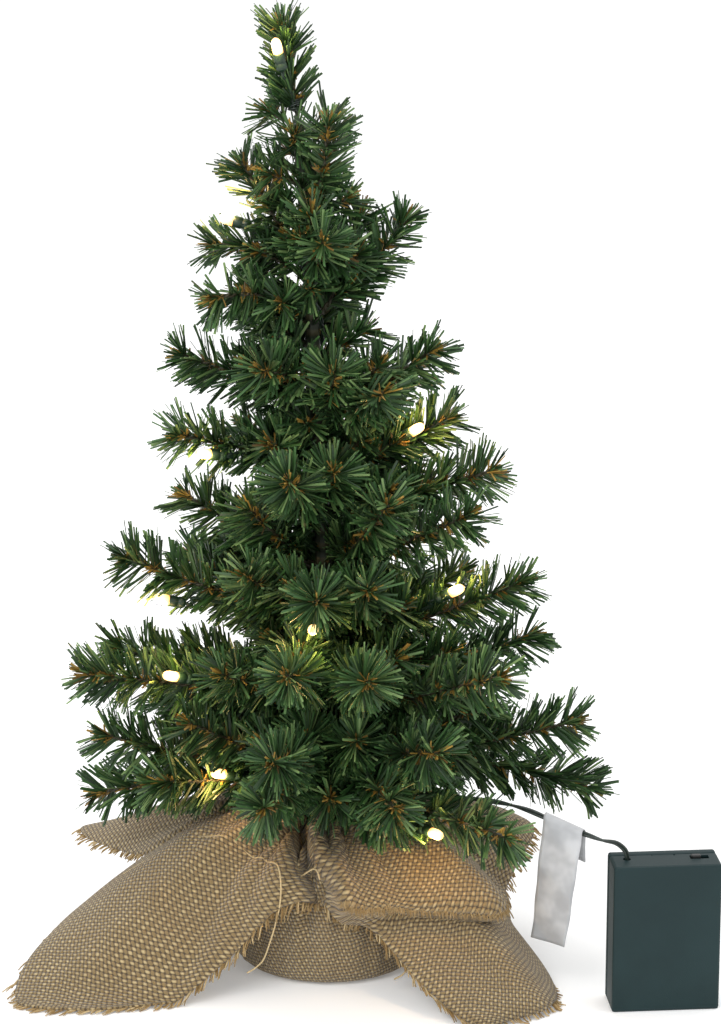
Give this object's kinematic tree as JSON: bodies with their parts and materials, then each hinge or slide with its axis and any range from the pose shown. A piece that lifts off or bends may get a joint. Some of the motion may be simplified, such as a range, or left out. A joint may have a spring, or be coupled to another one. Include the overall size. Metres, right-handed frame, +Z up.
{
  "type": "artificial tabletop tree",
  "caption": "Small wired needle tree on a burlap-wrapped round weight, wound with a warm white light string fed by a free-standing battery box.",
  "frame": {"origin": "middle of the flat underside of the burlap-wrapped weight, on the axis of the trunk's foot", "axes": "+Z up the trunk, -Y towards the front, +X towards the side where the battery box stands"},
  "size_m": [0.3147, 0.2013, 0.4463],
  "materials": {
    "needles": "soft brush of thin matte PVC strips, dark green",
    "stem": "steel wires bound in dark green tape",
    "plaster": "cast plaster",
    "burlap": "coarse plain-weave jute, frayed edges",
    "jute": "twisted jute thread",
    "wire": "dark green PVC-covered copper wire",
    "lamp": "clear lens in a dark green holder, warm white when lit",
    "box": "moulded dark green plastic, fine texture",
    "knob": "black moulded plastic",
    "cell": "plain metal cell jacket",
    "contact": "nickel-plated strip",
    "tag": "white satin tape, blank"
  },
  "bodies": {
    "root": {"base_weight": "plaster", "battery_case": "box", "burlap_wrap": "burlap", "cell_1": "cell", "cell_2": "cell", "cell_3": "cell", "contact_bottom": "contact", "contact_top": "contact", "cord_tag": "tag", "lead_cord": "wire", "light_string": "wire", "neck_tie": "jute", "switch_body": "knob", "trunk_rod": "stem"},
    "left_foot_bough": {"branch_left_foot": "needles", "lamp_09": "lamp"},
    "right_foot_bough": {"branch_right_foot": "needles"},
    "front_foot_bough": {"branch_front_foot": "needles"},
    "right_low_front_bough": {"branch_right_low_front": "needles", "lamp_10": "lamp"},
    "front_right_foot_bough": {"branch_front_right_foot": "needles"},
    "back_right_foot_bough": {"branch_back_right_foot": "needles"},
    "back_left_foot_bough": {"branch_back_left_foot": "needles"},
    "left_lower_bough": {"branch_left_lower": "needles", "lamp_08": "lamp"},
    "right_lower_front_bough": {"branch_right_lower_front": "needles"},
    "right_lower_bough": {"branch_right_lower": "needles"},
    "front_lower_bough": {"branch_front_lower": "needles"},
    "back_lower_bough": {"branch_back_lower": "needles"},
    "back_left_lower_bough": {"branch_back_left_lower": "needles"},
    "left_middle_bough": {"branch_left_middle": "needles", "lamp_05": "lamp"},
    "right_middle_bough": {"branch_right_middle": "needles", "lamp_06": "lamp"},
    "front_middle_bough": {"branch_front_middle": "needles", "lamp_07": "lamp"},
    "back_middle_bough": {"branch_back_middle": "needles"},
    "left_middle_back_bough": {"branch_left_middle_back": "needles"},
    "right_middle_front_bough": {"branch_right_middle_front": "needles"},
    "right_upper_long_bough": {"branch_right_upper_long": "needles"},
    "front_upper_long_bough": {"branch_front_upper_long": "needles"},
    "right_upper_back_bough": {"branch_right_upper_back": "needles", "lamp_04": "lamp"},
    "left_upper_front_bough": {"branch_left_upper_front": "needles", "lamp_03": "lamp"},
    "back_upper_bough": {"branch_back_upper": "needles"},
    "right_upper_bough": {"branch_right_upper": "needles"},
    "left_upper_bough": {"branch_left_upper": "needles"},
    "front_upper_bough": {"branch_front_upper": "needles"},
    "back_top_bough": {"branch_back_top": "needles"},
    "right_top_bough": {"branch_right_top": "needles"},
    "left_top_front_bough": {"branch_left_top_front": "needles"},
    "front_top_bough": {"branch_front_top": "needles"},
    "left_top_bough": {"branch_left_top": "needles", "lamp_02": "lamp"},
    "crown_front_bough": {"branch_crown_front": "needles"},
    "leader": {"leader_tip": "needles", "lamp_01": "lamp"},
    "cover": {"battery_cover": "box"},
    "switch": {"switch_slider": "knob"}
  },
  "joints": [
    {"name": "bend_left_foot", "type": "hinge", "parent": "root", "child": "left_foot_bough", "pos_m": [-0.00615, -0.00005, 0.08614], "axis": [-0.0087, 1, 0], "range_deg": [-12, 15]},
    {"name": "bend_right_foot", "type": "hinge", "parent": "root", "child": "right_foot_bough", "pos_m": [0.00593, 0.00032, 0.09106], "axis": [0.0523, -0.9986, 0], "range_deg": [-10, 26]},
    {"name": "bend_front_foot", "type": "hinge", "parent": "root", "child": "front_foot_bough", "pos_m": [-0.00182, -0.00578, 0.09762], "axis": [-0.9613, 0.2756, 0], "range_deg": [-12, 12]},
    {"name": "bend_right_low_front", "type": "hinge", "parent": "root", "child": "right_low_front_bough", "pos_m": [0.00435, -0.00424, 0.07958], "axis": [-0.6947, -0.7193, 0], "range_deg": [-12, 20]},
    {"name": "bend_front_right_foot", "type": "hinge", "parent": "root", "child": "front_right_foot_bough", "pos_m": [0.00255, -0.00535, 0.09926], "axis": [-0.891, -0.454, 0], "range_deg": [-12, 25]},
    {"name": "bend_back_right_foot", "type": "hinge", "parent": "root", "child": "back_right_foot_bough", "pos_m": [0.00309, 0.00518, 0.08614], "axis": [0.8526, -0.5225, 0], "range_deg": [-12, 30]},
    {"name": "bend_back_left_foot", "type": "hinge", "parent": "root", "child": "back_left_foot_bough", "pos_m": [-0.00381, 0.00479, 0.09434], "axis": [0.7934, 0.6088, 0], "range_deg": [-12, 20]},
    {"name": "bend_left_lower", "type": "hinge", "parent": "root", "child": "left_lower_bough", "pos_m": [-0.00636, -0.00031, 0.12386], "axis": [-0.0523, 0.9986, 0], "range_deg": [-12, 16]},
    {"name": "bend_right_lower_front", "type": "hinge", "parent": "root", "child": "right_lower_front_bough", "pos_m": [0.00441, -0.00348, 0.1173], "axis": [-0.5878, -0.809, 0], "range_deg": [-12, 30]},
    {"name": "bend_right_lower", "type": "hinge", "parent": "root", "child": "right_lower_bough", "pos_m": [0.00529, 0.00082, 0.12714], "axis": [0.1392, -0.9903, 0], "range_deg": [-12, 24]},
    {"name": "bend_front_lower", "type": "hinge", "parent": "root", "child": "front_lower_bough", "pos_m": [-0.00056, -0.00583, 0.13534], "axis": [-0.9998, -0.0175, 0], "range_deg": [-12, 12]},
    {"name": "bend_back_lower", "type": "hinge", "parent": "root", "child": "back_lower_bough", "pos_m": [0.00031, 0.00578, 0.13206], "axis": [0.9877, -0.1564, 0], "range_deg": [-12, 28]},
    {"name": "bend_back_left_lower", "type": "hinge", "parent": "root", "child": "back_left_lower_bough", "pos_m": [-0.00514, 0.00387, 0.14518], "axis": [0.6691, 0.7431, 0], "range_deg": [-12, 26]},
    {"name": "bend_left_middle", "type": "hinge", "parent": "root", "child": "left_middle_bough", "pos_m": [-0.00685, -0.00099, 0.16322], "axis": [-0.1736, 0.9848, 0], "range_deg": [-12, 24]},
    {"name": "bend_right_middle", "type": "hinge", "parent": "root", "child": "right_middle_bough", "pos_m": [0.00473, 0.0007, 0.15174], "axis": [0.1219, -0.9925, 0], "range_deg": [-12, 24]},
    {"name": "bend_front_middle", "type": "hinge", "parent": "root", "child": "front_middle_bough", "pos_m": [-0.00156, -0.00567, 0.16814], "axis": [-0.9994, 0.0349, 0], "range_deg": [-12, 30]},
    {"name": "bend_back_middle", "type": "hinge", "parent": "root", "child": "back_middle_bough", "pos_m": [-0.00241, 0.00557, 0.1747], "axis": [0.9877, 0.1564, 0], "range_deg": [-12, 30]},
    {"name": "bend_left_middle_back", "type": "hinge", "parent": "root", "child": "left_middle_back_bough", "pos_m": [-0.0074, 0.00068, 0.18618], "axis": [0.1219, 0.9925, 0], "range_deg": [-12, 30]},
    {"name": "bend_right_middle_front", "type": "hinge", "parent": "root", "child": "right_middle_front_bough", "pos_m": [0.00299, -0.00288, 0.18454], "axis": [-0.515, -0.8572, 0], "range_deg": [-12, 20]},
    {"name": "bend_right_upper_long", "type": "hinge", "parent": "root", "child": "right_upper_long_bough", "pos_m": [0.00275, -0.00085, 0.21078], "axis": [-0.1564, -0.9877, 0], "range_deg": [-12, 16]},
    {"name": "bend_front_upper_long", "type": "hinge", "parent": "root", "child": "front_upper_long_bough", "pos_m": [-0.00414, -0.00528, 0.2157], "axis": [-0.9703, 0.2419, 0], "range_deg": [-12, 30]},
    {"name": "bend_right_upper_back", "type": "hinge", "parent": "root", "child": "right_upper_back_bough", "pos_m": [0.00209, 0.00112, 0.22554], "axis": [0.2079, -0.9781, 0], "range_deg": [-12, 20]},
    {"name": "bend_left_upper_front", "type": "hinge", "parent": "root", "child": "left_upper_front_bough", "pos_m": [-0.00863, -0.00191, 0.23702], "axis": [-0.3584, 0.9336, 0], "range_deg": [-12, 28]},
    {"name": "bend_back_upper", "type": "hinge", "parent": "root", "child": "back_upper_bough", "pos_m": [-0.00246, 0.00532, 0.22718], "axis": [0.989, -0.1478, 0], "range_deg": [-12, 30]},
    {"name": "bend_right_upper", "type": "hinge", "parent": "root", "child": "right_upper_bough", "pos_m": [0.00006, -0.00286, 0.25342], "axis": [-0.5446, -0.8387, 0], "range_deg": [-12, 30]},
    {"name": "bend_left_upper", "type": "hinge", "parent": "root", "child": "left_upper_bough", "pos_m": [-0.01008, -0.00027, 0.2649], "axis": [-0.0523, 0.9986, 0], "range_deg": [-12, 30]},
    {"name": "bend_front_upper", "type": "hinge", "parent": "root", "child": "front_upper_bough", "pos_m": [-0.00838, -0.00407, 0.27146], "axis": [-0.788, 0.6157, 0], "range_deg": [-12, 30]},
    {"name": "bend_back_top", "type": "hinge", "parent": "root", "child": "back_top_bough", "pos_m": [-0.00676, 0.00502, 0.28294], "axis": [0.9816, 0.1908, 0], "range_deg": [-12, 30]},
    {"name": "bend_right_top", "type": "hinge", "parent": "root", "child": "right_top_bough", "pos_m": [-0.00198, 0.00121, 0.30262], "axis": [0.2419, -0.9703, 0], "range_deg": [-12, 30]},
    {"name": "bend_left_top_front", "type": "hinge", "parent": "root", "child": "left_top_front_bough", "pos_m": [-0.01126, -0.00279, 0.30754], "axis": [-0.5592, 0.829, 0], "range_deg": [-12, 30]},
    {"name": "bend_front_top", "type": "hinge", "parent": "root", "child": "front_top_bough", "pos_m": [-0.00742, -0.00486, 0.32394], "axis": [-0.9903, -0.1392, 0], "range_deg": [-12, 6]},
    {"name": "bend_left_top", "type": "hinge", "parent": "root", "child": "left_top_bough", "pos_m": [-0.0132, 0.00093, 0.32886], "axis": [0.1908, 0.9816, 0], "range_deg": [-12, 30]},
    {"name": "bend_crown_front", "type": "hinge", "parent": "root", "child": "crown_front_bough", "pos_m": [-0.00728, -0.00415, 0.34854], "axis": [-0.866, -0.5, 0], "range_deg": [-18, 8]},
    {"name": "bend_leader", "type": "hinge", "parent": "root", "child": "leader", "pos_m": [-0.0125, 0, 0.39], "axis": [0, 1, 0], "range_deg": [-25, 25]},
    {"name": "open_cover", "type": "hinge", "parent": "root", "child": "cover", "pos_m": [0.14908, -0.04904, 0], "axis": [-0.9962, -0.0872, 0], "range_deg": [0, 70]},
    {"name": "slide_switch", "type": "slide", "parent": "root", "child": "switch", "axis": [0.9962, 0.0872, 0], "range_m": [0, 0.003]}
  ]
}
